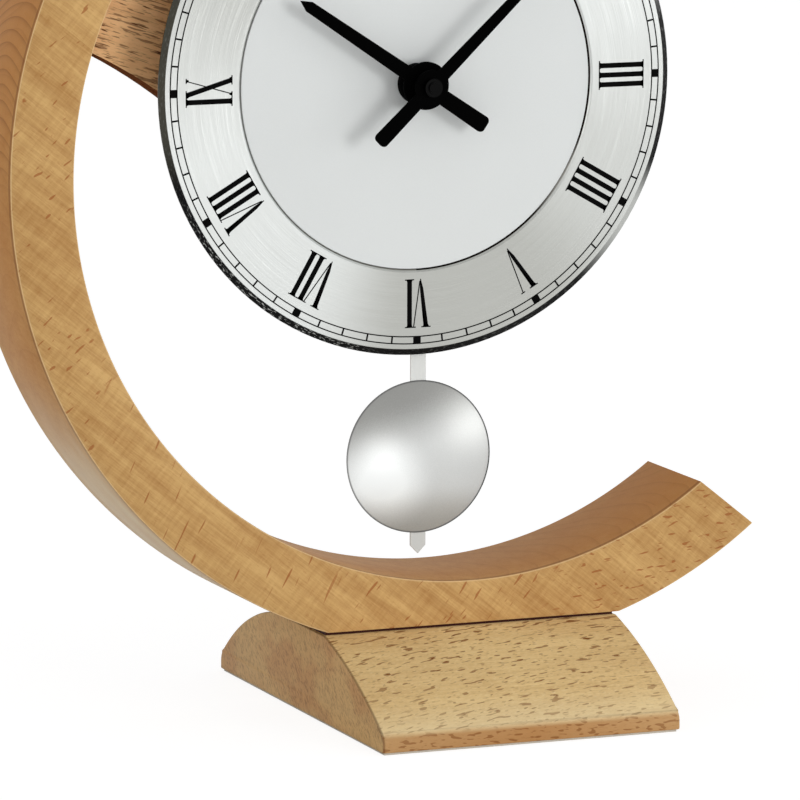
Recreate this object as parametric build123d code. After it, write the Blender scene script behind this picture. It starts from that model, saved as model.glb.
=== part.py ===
from build123d import *
import math
import os

# Desk pendulum clock in beech and aluminium, in millimetres.
# The front faces -Y, +X is to the right and +Z is up. The origin is at the middle of the
# underside. Fronts are the lower Y of a piece and backs the higher one.

# Wooden C
ring_inner_radius = 114.3
ring_width = 19.0         # of its front face
ring_depth = 36.8
ring_shift = 1.2          # the outer circle sits this far towards the open side
ring_edge_ease = 0.4
lower_end_angle = 53.0    # of the inner corner, below level
upper_end_angle = 53.0
glue_slope = 38.8         # of the glue lines and end cuts, falling to the right
board_width = 92.0        # of the planks that the C is cut from
glue_drop = 40.5          # lower glue line to the C's centre

# Foot
foot_length = 86.8
foot_depth = 124.0
foot_height = 24.0
foot_edge = 4.2
foot_front_crown = 138.0  # radius of its flank
foot_back_crown = 80.0
foot_edge_ease = 0.4
spacer_thickness = 0.8
spacer_inset = 0.9
felt_thickness = 0.6
felt_inset = 0.8
foot_screw_spread = 40.0
foot_screw_radius = 2.0
foot_screw_head_radius = 4.0
foot_screw_head_height = 2.6
foot_screw_sink = 4.0
foot_screw_reach = 9.0    # into the C
foot_dowel_spread = 64.0
foot_dowel_radius = 3.0
foot_dowel_bite = 6.0     # into each side
cross_slot_width = 1.0
cross_slot_depth = 1.2

# Dial
dial_radius = 74.0
dial_shift = 17.0         # to the left of the C's centre
dial_proud = 1.9          # chapter ring in front of the C
dial_plate_thickness = 0.8
chapter_width = 23.5
chapter_thickness = 1.1
chapter_inner_bevel = 0.9
rim_bevel_width = 1.7
rim_bevel_drop = 0.8
dial_plate_inset = 1.0    # inside the edge of the chapter ring
centre_disc_thickness = 0.3
centre_disc_gap = 0.1
dial_stud_spread = 74.0
dial_stud_radius = 1.2
dial_stud_bite = 5.0      # into the hub board

# Hub board and arm
hub_radius = 48.5
arm_angle = 158.0         # from +X, turning up and to the left
arm_width = 46.0
arm_flank_radius = 146.0
board_setback = 12.4      # behind the front of the C
board_thickness = 14.0
arm_dowel_spread = 24.0
arm_dowel_radius = 3.0
arm_dowel_bite = 9.0

# Movement
case_width = 56.0
case_corner = 4.0
case_wall = 1.5
case_fit = 0.4            # case to the opening in the hub board
dial_to_case = 2.0        # room in which the pendulum swings
cover_thickness = 1.6
cover_lug = 7.0
movement_screw_radius = 1.2
movement_screw_head_radius = 2.4
movement_screw_head_height = 1.2
movement_screw_bite = 8.0
tube_radius = 4.0
tube_flange_radius = 6.0
tube_flange_thickness = 1.0
tube_proud = 3.4          # in front of the centre disc
washer_radius = 7.0
nut_radius = 5.5
nut_thickness = 2.6
nut_bevel = 0.5

# Motion work, in the case
running_gap = 0.05        # radial, shaft to bore
flat_gap = 0.3            # between moving faces
wheel_thickness = 1.1
pinion_thickness = 1.3
hour_teeth = 40
hour_pinion_teeth = 10
minute_pinion_teeth = 12
reduction_teeth = 36
train_teeth = 48
setter_gap = 7.3          # middle of the setting shaft to the top of the case, inside
train_module = 0.375
post_radius = 0.6
arbor_radius = 1.5
hour_pipe_radius = 2.7
setter_radius = 1.2
train_plate_thickness = 1.0
train_plate_side_gap = 3.5    # to the case
train_plate_top_gap = 1.5
train_plate_drop = 13.0   # below the middle of the dial
pillar_radius = 1.6
knob_radius = 6.5
knob_thickness = 4.0
knob_gap = 0.5
knob_flutes = 12
knob_flute_radius = 0.8

# Battery and electronics
battery_radius = 7.1
battery_nib_radius = 2.7
battery_nib_length = 1.2
contact_thickness = 0.4
contact_width = 8.0
contact_room = 1.4        # between the cell and the case at each end
battery_slot_fit = 0.3
circuit_thickness = 1.0
circuit_gap = 5.0         # to the middle of the dial
circuit_height = 12.0
motor_core_thickness = 1.0
motor_core_width = 20.0
motor_core_height = 8.0
motor_coil_radius = 2.6
motor_coil_length = 11.0
drive_coil_radius = 5.0
drive_coil_thickness = 3.0
drive_coil_bore = 2.0
drive_coil_gap = 1.5      # to the floor of the case

# Pendulum
swing_angle = 6.0
pivot_rise = 15.0         # above the middle of the dial
hanger_offset = 1.5       # to the right of it
pin_radius = 0.8
pin_head_radius = 1.7
pin_head_thickness = 0.3
rod_width = 4.4
rod_thickness = 0.6
bob_drop = 7.4            # lower edge of the dial to the bob
rod_tip_gap = 7.1         # tip to the inside of the C below it
rod_point = 2.3
rod_head_radius = 2.6
loop_radius = 11.5
loop_width = 2.6
bob_radius = 21.0
bob_above_tip = 26.8      # middle of the bob to the tip
bob_rise = 5.0            # height of its dome
bob_sheet = 0.6
bob_back_radius = 19.0
bob_back_thickness = 0.8
clip_width = 12.0
clip_height = 8.0
clip_thickness = 0.5
magnet_radius = 3.0
magnet_thickness = 1.4
pocket_side_gap = 3.34    # beside the magnet at each end of its swing
pocket_end_gap = 2.0      # above and below it
pocket_depth = 1.5

# Hands, with the tip and tail measured from the middle of the dial
hand_thickness = 0.8
hand_tail_round = 1.3
hour_hand_angle = 303.9   # clockwise from 12
hour_hand_gap = 5.6       # chapter ring to the back of the hand
hour_tip = 43.4
hour_tail = 21.0
hour_tail_width = 4.6
hour_tip_width = 3.0
hour_point = 3.0
hour_hub_radius = 6.5
hour_collar_radius = 3.7
hour_collar_depth = 1.4
minute_hand_angle = 46.5
minute_hand_gap = 9.6
minute_tip = 62.0
minute_tail = 21.0
minute_tail_width = 4.2
minute_tip_width = 2.0
minute_point = 4.0
minute_hub_radius = 4.7
hand_nut_radius = 2.5
hand_nut_thickness = 1.5
arbor_proud = 2.0         # in front of the minute hand

# Cuts run this far past what they cut
overrun = 2.0

# Sizes and places that follow
ring_outer_radius = ring_inner_radius + ring_width
chapter_inner_radius = dial_radius - chapter_width
tube_bore = hour_pipe_radius + running_gap
case_reach = case_width / 2 - case_wall
wheel_distance = (case_reach - setter_gap) / 2
train_plate_width = 2 * (case_reach - train_plate_side_gap)
train_plate_rise = case_reach - train_plate_top_gap
circuit_width = train_plate_width / 2 - circuit_gap
battery_length = 2 * (case_reach - contact_room) - battery_nib_length
magnet_drop = pivot_rise + case_reach - drive_coil_gap - drive_coil_radius
rod_length = pivot_rise + dial_radius + bob_drop + bob_radius + bob_above_tip
seat_drop = math.sqrt(ring_outer_radius ** 2 - (foot_length / 2) ** 2)
foot_bottom = felt_thickness
foot_top = foot_bottom + foot_height
seat_z = foot_top + spacer_thickness
ring_z = seat_z + seat_drop
ring_front = -ring_depth / 2
floor_drop = math.sqrt(ring_inner_radius ** 2 - dial_shift ** 2)
dial_rise = rod_length + rod_tip_gap - pivot_rise - floor_drop
dial_x = -dial_shift
pendulum_x = dial_x + hanger_offset
dial_z = ring_z + dial_rise
chapter_front = ring_front - dial_proud
plate_front = chapter_front + chapter_thickness
plate_back = plate_front + dial_plate_thickness
disc_front = plate_front - centre_disc_thickness
case_front = plate_back + dial_to_case
board_front = ring_front + board_setback
board_back = board_front + board_thickness
case_inside = case_front + case_wall
rod_front = plate_back + (dial_to_case - rod_thickness) / 2
rod_back = rod_front + rod_thickness
pivot_z = dial_z + pivot_rise
bob_z = pivot_z - rod_length + bob_above_tip
magnet_sweep = magnet_drop * math.sin(math.radians(swing_angle))
pocket_width = 2 * (magnet_sweep + magnet_radius + pocket_side_gap)
pocket_height = 2 * (magnet_radius + pocket_end_gap)
hub_slope = math.radians(arm_angle)
hour_hand_back = chapter_front - hour_hand_gap
minute_hand_back = chapter_front - minute_hand_gap

# Wheels stand one behind the other, from the inside of the case's front
hour_wheel_front = case_inside + flat_gap
reduction_front = hour_wheel_front + pinion_thickness + flat_gap
train_front = reduction_front + pinion_thickness + flat_gap
train_plate_front = train_front + wheel_thickness + flat_gap
train_plate_back = train_plate_front + train_plate_thickness
fine_module = 2 * wheel_distance / (hour_teeth + hour_pinion_teeth)
coarse_module = 2 * wheel_distance / (minute_pinion_teeth + reduction_teeth)
reduction_z = dial_z + wheel_distance
setter_z = reduction_z + wheel_distance
battery_z = dial_z - case_reach + battery_slot_fit + battery_radius
battery_y = board_back - battery_slot_fit - battery_radius
screw_spread = case_width + cover_lug

# Shares of a tooth's pitch, root to tip, and of its module
tooth_root_share = 0.30
tooth_pitch_share = 0.20
tooth_tip_share = 0.09
addendum_share = 0.85
dedendum_share = 1.25


def slab(shape, front, back):
    """Flat piece whose outline is drawn as seen from the front."""
    return extrude(Plane.XZ.offset(-back) * shape, back - front)


def disc(x, z, radius, front, back):
    """Round piece about an axis that runs front to back."""
    return slab(Pos(x, z) * Circle(radius), front, back)


def tube(x, z, outer, inner, front, back):
    """Round piece with a bore."""
    return slab(Pos(x, z) * (Circle(outer) - Circle(inner)), front, back)


def turned(x, z, profile):
    """Revolve a profile of (radius, y) points about the axis at x, z."""
    outline = make_face(Polyline(*profile, close=True))
    return Pos(x, 0, z) * revolve(outline, Axis.Y)


def upright(x, y, radius, low, high):
    """Round piece about a vertical axis."""
    return extrude(Plane.XY.offset(low) * Pos(x, y) * Circle(radius), high - low)


def save(name, shape):
    """Write one piece under its own name."""
    export_step(shape, "parts/" + name + ".step")


# The C
def end_half_plane(angle, side):
    """Everything beyond an end cut, which runs along the glue slope, or mirrors it above."""
    reach = ring_outer_radius + ring_shift
    corner_x = ring_inner_radius * math.cos(math.radians(angle))
    corner_z = ring_inner_radius * math.sin(math.radians(angle)) * side
    blank = Pos(0, reach) * Rectangle(2 * reach, 2 * reach)
    turn = -glue_slope if side < 0 else glue_slope + 180
    return Pos(corner_x, ring_z + corner_z) * Rot(0, 0, turn) * blank


def c_outline():
    """The C seen from the front, with its flat seat and both end cuts."""
    outer = Pos(ring_shift, ring_z) * Circle(ring_outer_radius)
    inner = Pos(0, ring_z) * Circle(ring_inner_radius)
    reach = ring_outer_radius
    below = Pos(0, seat_z - reach / 2) * Rectangle(4 * reach, reach)
    outline = outer - inner - below
    mouth_low = end_half_plane(lower_end_angle, -1)
    mouth_high = end_half_plane(upper_end_angle, 1)
    right_side = Pos(reach, ring_z) * Rectangle(2 * reach, 4 * reach)
    return outline - (mouth_low & mouth_high & right_side)


def plank_band(low, high):
    """A band along the glue slope, between two distances from the C's centre."""
    reach = 4 * ring_outer_radius
    strip = Pos(0, (low + high) / 2) * Rectangle(reach, high - low)
    return Pos(0, ring_z) * Rot(0, 0, -glue_slope) * strip


def plank(outline):
    """One plank of the C, with its curved edges eased and its holes drilled."""
    body = slab(outline, ring_front, -ring_front)
    curved = body.edges().filter_by(GeomType.CIRCLE)
    body = chamfer(curved, ring_edge_ease)
    body = body - screw_shank_holes(foot_screw_radius, seat_z - overrun, seat_z + foot_screw_reach)
    return body - foot_dowels() - arm_dowels()


def build_c():
    """The C, parted along its glue lines into the planks that it is cut from."""
    outline = c_outline()
    far = 2 * ring_outer_radius
    upper_glue = board_width - glue_drop
    middle = (outline & plank_band(-glue_drop, upper_glue)).faces().sort_by(Axis.X)
    save("c_lower_plank", plank(outline & plank_band(-far, -glue_drop)))
    save("c_middle_plank", plank(middle[0]))
    save("c_lower_tip", plank(middle[-1]))
    save("c_upper_plank", plank(outline & plank_band(upper_glue, far)))


# The foot
def foot_profile():
    """Bread-loaf section, as deep at the top as the C, with convex flanks."""
    top = ring_depth / 2
    edge = foot_depth / 2
    shoulder = foot_bottom + foot_edge
    lines = Curve() + [
        Line((-edge, foot_bottom), (edge, foot_bottom)),
        Line((edge, foot_bottom), (edge, shoulder)),
        RadiusArc((edge, shoulder), (top, foot_top), -foot_back_crown),
        Line((top, foot_top), (-top, foot_top)),
        RadiusArc((-top, foot_top), (-edge, shoulder), -foot_front_crown),
        Line((-edge, shoulder), (-edge, foot_bottom)),
    ]
    return make_face(lines)


def screw_shank_holes(radius, low, high):
    """Round holes at both foot screws."""
    return Part() + [
        upright(x, 0, radius, low, high)
        for x in (-foot_screw_spread / 2, foot_screw_spread / 2)
    ]


def foot_dowels():
    """Two beech dowels that keep the C square on the foot."""
    low = foot_top - foot_dowel_bite
    high = seat_z + foot_dowel_bite
    return Part() + [
        upright(x, 0, foot_dowel_radius, low, high)
        for x in (-foot_dowel_spread / 2, foot_dowel_spread / 2)
    ]


def foot_screws():
    """Two screws from below, heads sunk in the foot."""
    head_top = foot_bottom + foot_screw_sink + foot_screw_head_height
    pieces = []
    for x in (-foot_screw_spread / 2, foot_screw_spread / 2):
        shank = upright(x, 0, foot_screw_radius, head_top, seat_z + foot_screw_reach)
        head = upright(x, 0, foot_screw_head_radius, foot_bottom + foot_screw_sink, head_top)
        slot = Pos(x, 0, foot_bottom + foot_screw_sink)
        arm = Box(foot_screw_head_radius, cross_slot_width, 2 * cross_slot_depth)
        cross = Box(cross_slot_width, foot_screw_head_radius, 2 * cross_slot_depth)
        pieces.append(shank + head - slot * arm - slot * cross)
    return pieces


def build_foot():
    """Foot block, dark spacer, dowels, screws and felt."""
    block = extrude(Plane.YZ * foot_profile(), foot_length / 2, both=True)
    crown = block.edges().filter_by(GeomType.CIRCLE)
    block = chamfer(crown, foot_edge_ease)
    head_top = foot_bottom + foot_screw_sink + foot_screw_head_height
    block = block - screw_shank_holes(foot_screw_radius, foot_bottom - overrun, foot_top + overrun)
    block = block - screw_shank_holes(foot_screw_head_radius, foot_bottom - overrun, head_top)
    block = block - foot_dowels()
    save("foot_block", block)
    middle = (foot_top + seat_z) / 2
    length = foot_length - 2 * spacer_inset
    spacer = Pos(0, 0, middle) * Box(length, ring_depth - 2 * spacer_inset, spacer_thickness)
    spacer = spacer - screw_shank_holes(foot_screw_radius, foot_top - overrun, seat_z + overrun)
    save("foot_spacer", spacer - foot_dowels())
    save("foot_dowels", Compound(children=list(foot_dowels().solids())))
    save("foot_screws", Compound(children=foot_screws()))
    felt = Box(foot_length - 2 * felt_inset, foot_depth - 2 * felt_inset, felt_thickness)
    save("foot_felt", Pos(0, 0, felt_thickness / 2) * felt)


# The arm and hub board
def along_arm(distance, across):
    """Point at a distance along the arm from the dial's middle, and across it."""
    x = dial_x + distance * math.cos(hub_slope) - across * math.sin(hub_slope)
    z = dial_z + distance * math.sin(hub_slope) + across * math.cos(hub_slope)
    return x, z


def arm_reach(across):
    """Distance along the arm at which it meets the inside of the C."""
    x, z = along_arm(0, across)
    z = z - ring_z
    forward = x * math.cos(hub_slope) + z * math.sin(hub_slope)
    return -forward + math.sqrt(forward ** 2 - x ** 2 - z ** 2 + ring_inner_radius ** 2)


def arm_dowels():
    """Two dowels across the joint between arm and C."""
    dowels = Part()
    for across in (-arm_dowel_spread / 2, arm_dowel_spread / 2):
        x, z = along_arm(arm_reach(across), across)
        middle = (board_front + board_back) / 2
        place = Plane(origin=(x, middle, z), z_dir=(math.cos(hub_slope), 0, math.sin(hub_slope)))
        dowels += extrude(place * Circle(arm_dowel_radius), arm_dowel_bite, both=True)
    return dowels


def hub_outline():
    """Hub disc that runs into the arm with hollow flanks, up to the inside of the C."""
    flank_across = arm_width / 2 + arm_flank_radius
    flank_along = math.sqrt((hub_radius + arm_flank_radius) ** 2 - flank_across ** 2)
    touch = hub_radius / (hub_radius + arm_flank_radius)
    start = flank_along * touch
    half_height = flank_across * touch
    length = arm_reach(0) + arm_width - start
    middle_x, middle_z = along_arm(start + length / 2, 0)
    strip = Pos(middle_x, middle_z) * Rot(0, 0, arm_angle) * Rectangle(length, 2 * half_height)
    for side in (-1, 1):
        x, z = along_arm(flank_along, side * flank_across)
        strip = strip - Pos(x, z) * Circle(arm_flank_radius)
    outline = strip + Pos(dial_x, dial_z) * Circle(hub_radius)
    return outline & (Pos(0, ring_z) * Circle(ring_inner_radius))


def square(width, corner):
    """Square with round corners about the middle of the dial."""
    return Pos(dial_x, dial_z) * RectangleRounded(width, width, corner)


def dial_studs():
    """Two studs on the back of the dial plate, which end in the hub board."""
    return [
        disc(dial_x + x, dial_z, dial_stud_radius, plate_back, board_front + dial_stud_bite)
        for x in (-dial_stud_spread / 2, dial_stud_spread / 2)
    ]


def movement_screw_places():
    """Middle of each screw in the lugs of the back cover."""
    return [(dial_x - screw_spread / 2, dial_z), (dial_x + screw_spread / 2, dial_z)]


def build_arm():
    """Hub board with its opening for the movement, and the dowels into the C."""
    board = slab(hub_outline(), board_front, board_back)
    opening = square(case_width + 2 * case_fit, case_corner + case_fit)
    board = board - slab(opening, board_front - overrun, board_back + overrun)
    for x in (-dial_stud_spread / 2, dial_stud_spread / 2):
        hole_end = board_front + dial_stud_bite + flat_gap
        hole_radius = dial_stud_radius + running_gap
        board = board - disc(dial_x + x, dial_z, hole_radius, board_front - overrun, hole_end)
    for x, z in movement_screw_places():
        hole_start = board_back - movement_screw_bite
        board = board - disc(x, z, movement_screw_radius, hole_start, board_back + overrun)
    save("arm_board", board - arm_dowels())
    save("arm_dowels", Compound(children=list(arm_dowels().solids())))


# The dial
def build_dial():
    """Plate with studs, matt centre disc, and chapter ring with its two bevels."""
    bore = tube_radius + running_gap
    plate = tube(dial_x, dial_z, dial_radius - dial_plate_inset, bore, plate_front, plate_back)
    for stud in dial_studs():
        plate = plate + stud
    save("dial_plate", plate)
    edge = chapter_inner_radius - centre_disc_gap
    save("dial_centre_disc", tube(dial_x, dial_z, edge, bore, disc_front, plate_front))
    profile = [
        (chapter_inner_radius, plate_front),
        (chapter_inner_radius + chapter_inner_bevel, chapter_front),
        (dial_radius - rim_bevel_width, chapter_front),
        (dial_radius, chapter_front + rim_bevel_drop),
        (dial_radius, plate_front),
    ]
    save("chapter_ring", turned(dial_x, dial_z, profile))


def build_dial_fixing():
    """Washer behind the dial, threaded centre tube and round black nut."""
    save("dial_washer", tube(dial_x, dial_z, washer_radius, tube_radius, plate_back, case_front))
    tube_front = disc_front - tube_proud
    body = tube(dial_x, dial_z, tube_radius, tube_bore, tube_front, case_inside)
    flange_front = case_inside - tube_flange_thickness
    body = body + tube(dial_x, dial_z, tube_flange_radius, tube_bore, flange_front, case_inside)
    save("centre_tube", body)
    nut_front = disc_front - nut_thickness
    profile = [
        (tube_radius, disc_front),
        (nut_radius, disc_front),
        (nut_radius, nut_front + nut_bevel),
        (nut_radius - nut_bevel, nut_front),
        (tube_radius, nut_front),
    ]
    save("dial_nut", turned(dial_x, dial_z, profile))


# The movement's case
def drive_pocket(extra):
    """Pocket in the case's front in which the drive magnet swings."""
    size = Rectangle(pocket_width + 2 * extra, pocket_height + 2 * extra)
    return Pos(pendulum_x, pivot_z - magnet_drop) * size


def build_case():
    """Case shell open at the back, with a reduction post and a pocket for the magnet."""
    shell = slab(square(case_width, case_corner), case_front, board_back)
    inner = square(case_width - 2 * case_wall, case_corner - case_wall)
    shell = shell - slab(inner, case_inside, board_back + overrun)
    shell = shell + slab(drive_pocket(case_wall), case_front, case_inside + pocket_depth)
    shell = shell - slab(drive_pocket(0), case_front - overrun, case_front + pocket_depth)
    shell = shell - disc(dial_x, dial_z, tube_radius, case_front - overrun, case_inside)
    flange_front = case_inside - tube_flange_thickness
    shell = shell - disc(dial_x, dial_z, tube_flange_radius, flange_front, case_inside + overrun)
    pillar_x = train_plate_width / 2 - pillar_radius
    pillar_places = [
        (dial_x + side * pillar_x, z)
        for side in (-1, 1)
        for z in (dial_z + train_plate_rise - pillar_radius, dial_z - train_plate_drop + pillar_radius)
    ]
    for x, z in pillar_places:
        shell = shell + disc(x, z, pillar_radius, case_inside - case_wall / 2, train_plate_front)
    post_end = train_front - 2 * flat_gap
    shell = shell + disc(dial_x, reduction_z, post_radius, case_inside - case_wall / 2, post_end)
    shell = shell - disc(pendulum_x, pivot_z, pin_radius, case_front - overrun, case_inside)
    save("movement_case", shell)


def cover_outline():
    """Back cover with a lug at each side."""
    lugs = RectangleRounded(case_width + 2 * cover_lug, 2 * cover_lug, cover_lug / 2)
    return square(case_width, case_corner) + Pos(dial_x, dial_z) * lugs


def battery_door():
    """Opening in the back cover through which the battery is changed."""
    width = battery_length + battery_nib_length + 2 * battery_slot_fit
    height = 2 * battery_radius
    return Pos(dial_x, battery_z) * Rectangle(width, height)


def build_cover():
    """Back cover with the setter's hole and the battery opening, and its two screws."""
    cover_back = board_back + cover_thickness
    cover = slab(cover_outline(), board_back, cover_back)
    hole = setter_radius + running_gap
    cover = cover - disc(dial_x, setter_z, hole, board_back - overrun, cover_back + overrun)
    cover = cover - slab(battery_door(), board_back - overrun, cover_back + overrun)
    screws = []
    for x, z in movement_screw_places():
        cover = cover - disc(x, z, movement_screw_radius, board_back - overrun, cover_back + overrun)
        head_back = cover_back + movement_screw_head_height
        shank_end = board_back - movement_screw_bite
        shank = disc(x, z, movement_screw_radius, shank_end, head_back)
        head = disc(x, z, movement_screw_head_radius, cover_back, head_back)
        slot_end = Pos(x, head_back, z)
        arm = Box(movement_screw_head_radius, cross_slot_width, cross_slot_width / 2)
        cross = Box(cross_slot_width / 2, cross_slot_width, movement_screw_head_radius)
        screws.append(shank + head - slot_end * arm - slot_end * cross)
    save("movement_cover", cover)
    save("movement_screws", Compound(children=screws))


def build_battery():
    """Round cell on its side, with a plain and a nibbed end, and a contact at each."""
    left = dial_x - (battery_length + battery_nib_length) / 2
    place = Plane(origin=(left, battery_y, battery_z), z_dir=(1, 0, 0))
    cell = extrude(place * Circle(battery_radius), battery_length)
    nib = extrude(place.offset(battery_length) * Circle(battery_nib_radius), battery_nib_length)
    save("battery", cell + nib)
    right = left + battery_length + battery_nib_length
    leaf = Box(contact_thickness, contact_width, contact_width)
    left_leaf = Pos(left - contact_thickness / 2, battery_y, battery_z) * leaf
    right_leaf = Pos(right + contact_thickness / 2, battery_y, battery_z) * leaf
    tab_length = contact_room - contact_thickness
    tab = Box(tab_length, contact_width / 2, contact_width / 2)
    left_leaf += Pos(left - contact_thickness - tab_length / 2, battery_y, battery_z) * tab
    right_leaf += Pos(right + contact_thickness + tab_length / 2, battery_y, battery_z) * tab
    save("battery_contacts", Compound(children=[left_leaf, right_leaf]))


def build_electronics():
    """Circuit board, motor core with its coil, and the coil that drives the pendulum."""
    plate_side = train_plate_width / 2
    board_z = dial_z + train_plate_rise - circuit_height / 2
    board_x = dial_x - plate_side + circuit_width / 2
    board = Pos(board_x, train_plate_back + circuit_thickness / 2, board_z)
    save("circuit_board", board * Box(circuit_width, circuit_thickness, circuit_height))
    core_x = dial_x + plate_side - motor_core_width / 2
    core_back = train_plate_back + motor_core_thickness
    window = Rectangle(motor_core_width / 2, motor_core_height / 2)
    core = Pos(core_x, dial_z) * (Rectangle(motor_core_width, motor_core_height) - window)
    save("motor_core", slab(core, train_plate_back, core_back))
    coil_axis = Plane(
        origin=(core_x, core_back + motor_coil_radius, dial_z + motor_core_height / 2),
        z_dir=(1, 0, 0),
    )
    coil = extrude(coil_axis * Circle(motor_coil_radius), motor_coil_length / 2, both=True)
    save("motor_coil", coil)
    coil_front = case_inside + pocket_depth
    coil_back = coil_front + drive_coil_thickness
    coil_z = pivot_z - magnet_drop
    winding = tube(pendulum_x, coil_z, drive_coil_radius, drive_coil_bore, coil_front, coil_back)
    save("drive_coil", winding)


# Wheels of the motion work
def tooth_points(teeth, module, turn):
    """Outline of a wheel: root, flank and tip of each tooth, with easy clearance."""
    pitch = module * teeth / 2
    root = pitch - dedendum_share * module
    tip = pitch + addendum_share * module
    step = 2 * math.pi / teeth
    flank = [(root, tooth_root_share), (pitch, tooth_pitch_share), (tip, tooth_tip_share)]
    tooth = [(radius, -share) for radius, share in flank]
    tooth += [(radius, share) for radius, share in reversed(flank)]
    points = []
    for number in range(teeth):
        for radius, share in tooth:
            angle = math.radians(turn) + (number + share) * step
            points.append((radius * math.cos(angle), radius * math.sin(angle)))
    return points


def gear(x, z, teeth, module, turn, front, back):
    """Toothed wheel whose first tooth points at the angle turn."""
    outline = make_face(Polyline(*tooth_points(teeth, module, turn), close=True))
    return slab(Pos(x, z) * outline, front, back)


def mesh_turn(teeth, towards):
    """Angle that puts a gap of a wheel, not a tooth, in the direction towards."""
    return towards + 180 / teeth


def build_motion_work():
    """Hour wheel and pipe, minute arbor with its wheels, reduction wheel and setter."""
    wheel_back = hour_wheel_front + wheel_thickness
    pinion_back = hour_wheel_front + pinion_thickness
    pipe_bore = arbor_radius + running_gap
    pipe_front = hour_hand_back - hand_thickness
    turn = mesh_turn(hour_teeth, 90)
    hour = gear(dial_x, dial_z, hour_teeth, fine_module, turn, hour_wheel_front, wheel_back)
    hour = hour + disc(dial_x, dial_z, hour_pipe_radius, pipe_front, wheel_back)
    hour = hour - disc(dial_x, dial_z, pipe_bore, pipe_front - overrun, wheel_back + overrun)
    save("hour_wheel", hour)
    post_bore = post_radius + running_gap
    reduction_back = reduction_front + wheel_thickness
    reduction = gear(
        dial_x, reduction_z, hour_pinion_teeth, fine_module, -90, hour_wheel_front, pinion_back
    )
    reduction += gear(
        dial_x, reduction_z, reduction_teeth, coarse_module, -90, reduction_front, reduction_back
    )
    reduction += disc(dial_x, reduction_z, 2 * post_radius, hour_wheel_front, reduction_back)
    hole = disc(dial_x, reduction_z, post_bore, hour_wheel_front - overrun, reduction_back + overrun)
    save("reduction_wheel", reduction - hole)
    build_minute_arbor()
    build_setter()


def build_minute_arbor():
    """Steel arbor that carries the minute hand, its pinion and the wheel of the drive."""
    arbor_front = minute_hand_back - hand_thickness - arbor_proud
    arbor = disc(dial_x, dial_z, arbor_radius, arbor_front, train_plate_back)
    pinion_end = reduction_front + pinion_thickness
    turn = mesh_turn(minute_pinion_teeth, 90)
    arbor += gear(
        dial_x, dial_z, minute_pinion_teeth, coarse_module, turn, reduction_front, pinion_end
    )
    wheel_end = train_front + wheel_thickness
    arbor += gear(dial_x, dial_z, train_teeth, train_module, 0, train_front, wheel_end)
    save("minute_arbor", arbor)


def build_setter():
    """Setting shaft with its pinion, and the fluted knob behind the cover."""
    pinion_end = reduction_front + pinion_thickness
    turn = mesh_turn(minute_pinion_teeth, -90)
    knob_front = board_back + cover_thickness + knob_gap
    knob_back = knob_front + knob_thickness
    shaft_end = knob_back - knob_thickness / 2
    shaft = disc(dial_x, setter_z, setter_radius, reduction_front, shaft_end)
    shaft += gear(
        dial_x, setter_z, minute_pinion_teeth, coarse_module, turn, reduction_front, pinion_end
    )
    save("setting_shaft", shaft)
    outline = Circle(knob_radius)
    for number in range(knob_flutes):
        angle = 2 * math.pi * number / knob_flutes
        flute = Pos(knob_radius * math.cos(angle), knob_radius * math.sin(angle))
        outline = outline - flute * Circle(knob_flute_radius)
    knob = slab(Pos(dial_x, setter_z) * outline, knob_front, knob_back)
    shaft_hole = disc(dial_x, setter_z, setter_radius, knob_front - overrun, shaft_end)
    save("setting_knob", knob - shaft_hole)


def build_train_plate():
    """Plate inside the case that bears the minute arbor and the setting shaft."""
    height = train_plate_rise + train_plate_drop
    middle_z = dial_z + train_plate_rise - height / 2
    plate = Pos(dial_x, middle_z) * Rectangle(train_plate_width, height)
    plate = plate - Pos(dial_x, dial_z) * Circle(arbor_radius + running_gap)
    plate = plate - Pos(dial_x, setter_z) * Circle(setter_radius + running_gap)
    save("train_plate", slab(plate, train_plate_front, train_plate_back))


# The hands
def hand_outline(tip, tail, tip_width, tail_width, point):
    """Slim hand that points up: tail with soft corners, taper and a short blunt point."""
    half_tail = tail_width / 2
    half_tip = tip_width / 2
    shoulder = tip - point
    blade = make_face(Polyline(
        (-half_tail, -tail),
        (-half_tip, shoulder),
        (0, tip),
        (half_tip, shoulder),
        (half_tail, -tail),
        close=True,
    ))
    return fillet(blade.vertices().sort_by(Axis.Y)[:2], hand_tail_round)


def build_hour_hand():
    """Hour hand with its hub and the collar that grips the hour pipe."""
    shape = hand_outline(hour_tip, hour_tail, hour_tip_width, hour_tail_width, hour_point)
    shape = Rot(0, 0, -hour_hand_angle) * shape + Circle(hour_hub_radius)
    front = hour_hand_back - hand_thickness
    hand = slab(Pos(dial_x, dial_z) * shape, front, hour_hand_back)
    collar_back = hour_hand_back + hour_collar_depth
    hand = hand + disc(dial_x, dial_z, hour_collar_radius, hour_hand_back, collar_back)
    hand = hand - disc(dial_x, dial_z, hour_pipe_radius, front - overrun, collar_back + overrun)
    save("hour_hand", hand)


def build_minute_hand():
    """Minute hand on the arbor, held by a small round nut."""
    shape = hand_outline(minute_tip, minute_tail, minute_tip_width, minute_tail_width, minute_point)
    shape = Rot(0, 0, -minute_hand_angle) * shape + Circle(minute_hub_radius)
    front = minute_hand_back - hand_thickness
    shape = shape - Circle(arbor_radius)
    save("minute_hand", slab(Pos(dial_x, dial_z) * shape, front, minute_hand_back))
    nut_front = front - hand_nut_thickness
    save("hand_nut", tube(dial_x, dial_z, hand_nut_radius, arbor_radius, nut_front, front))


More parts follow.
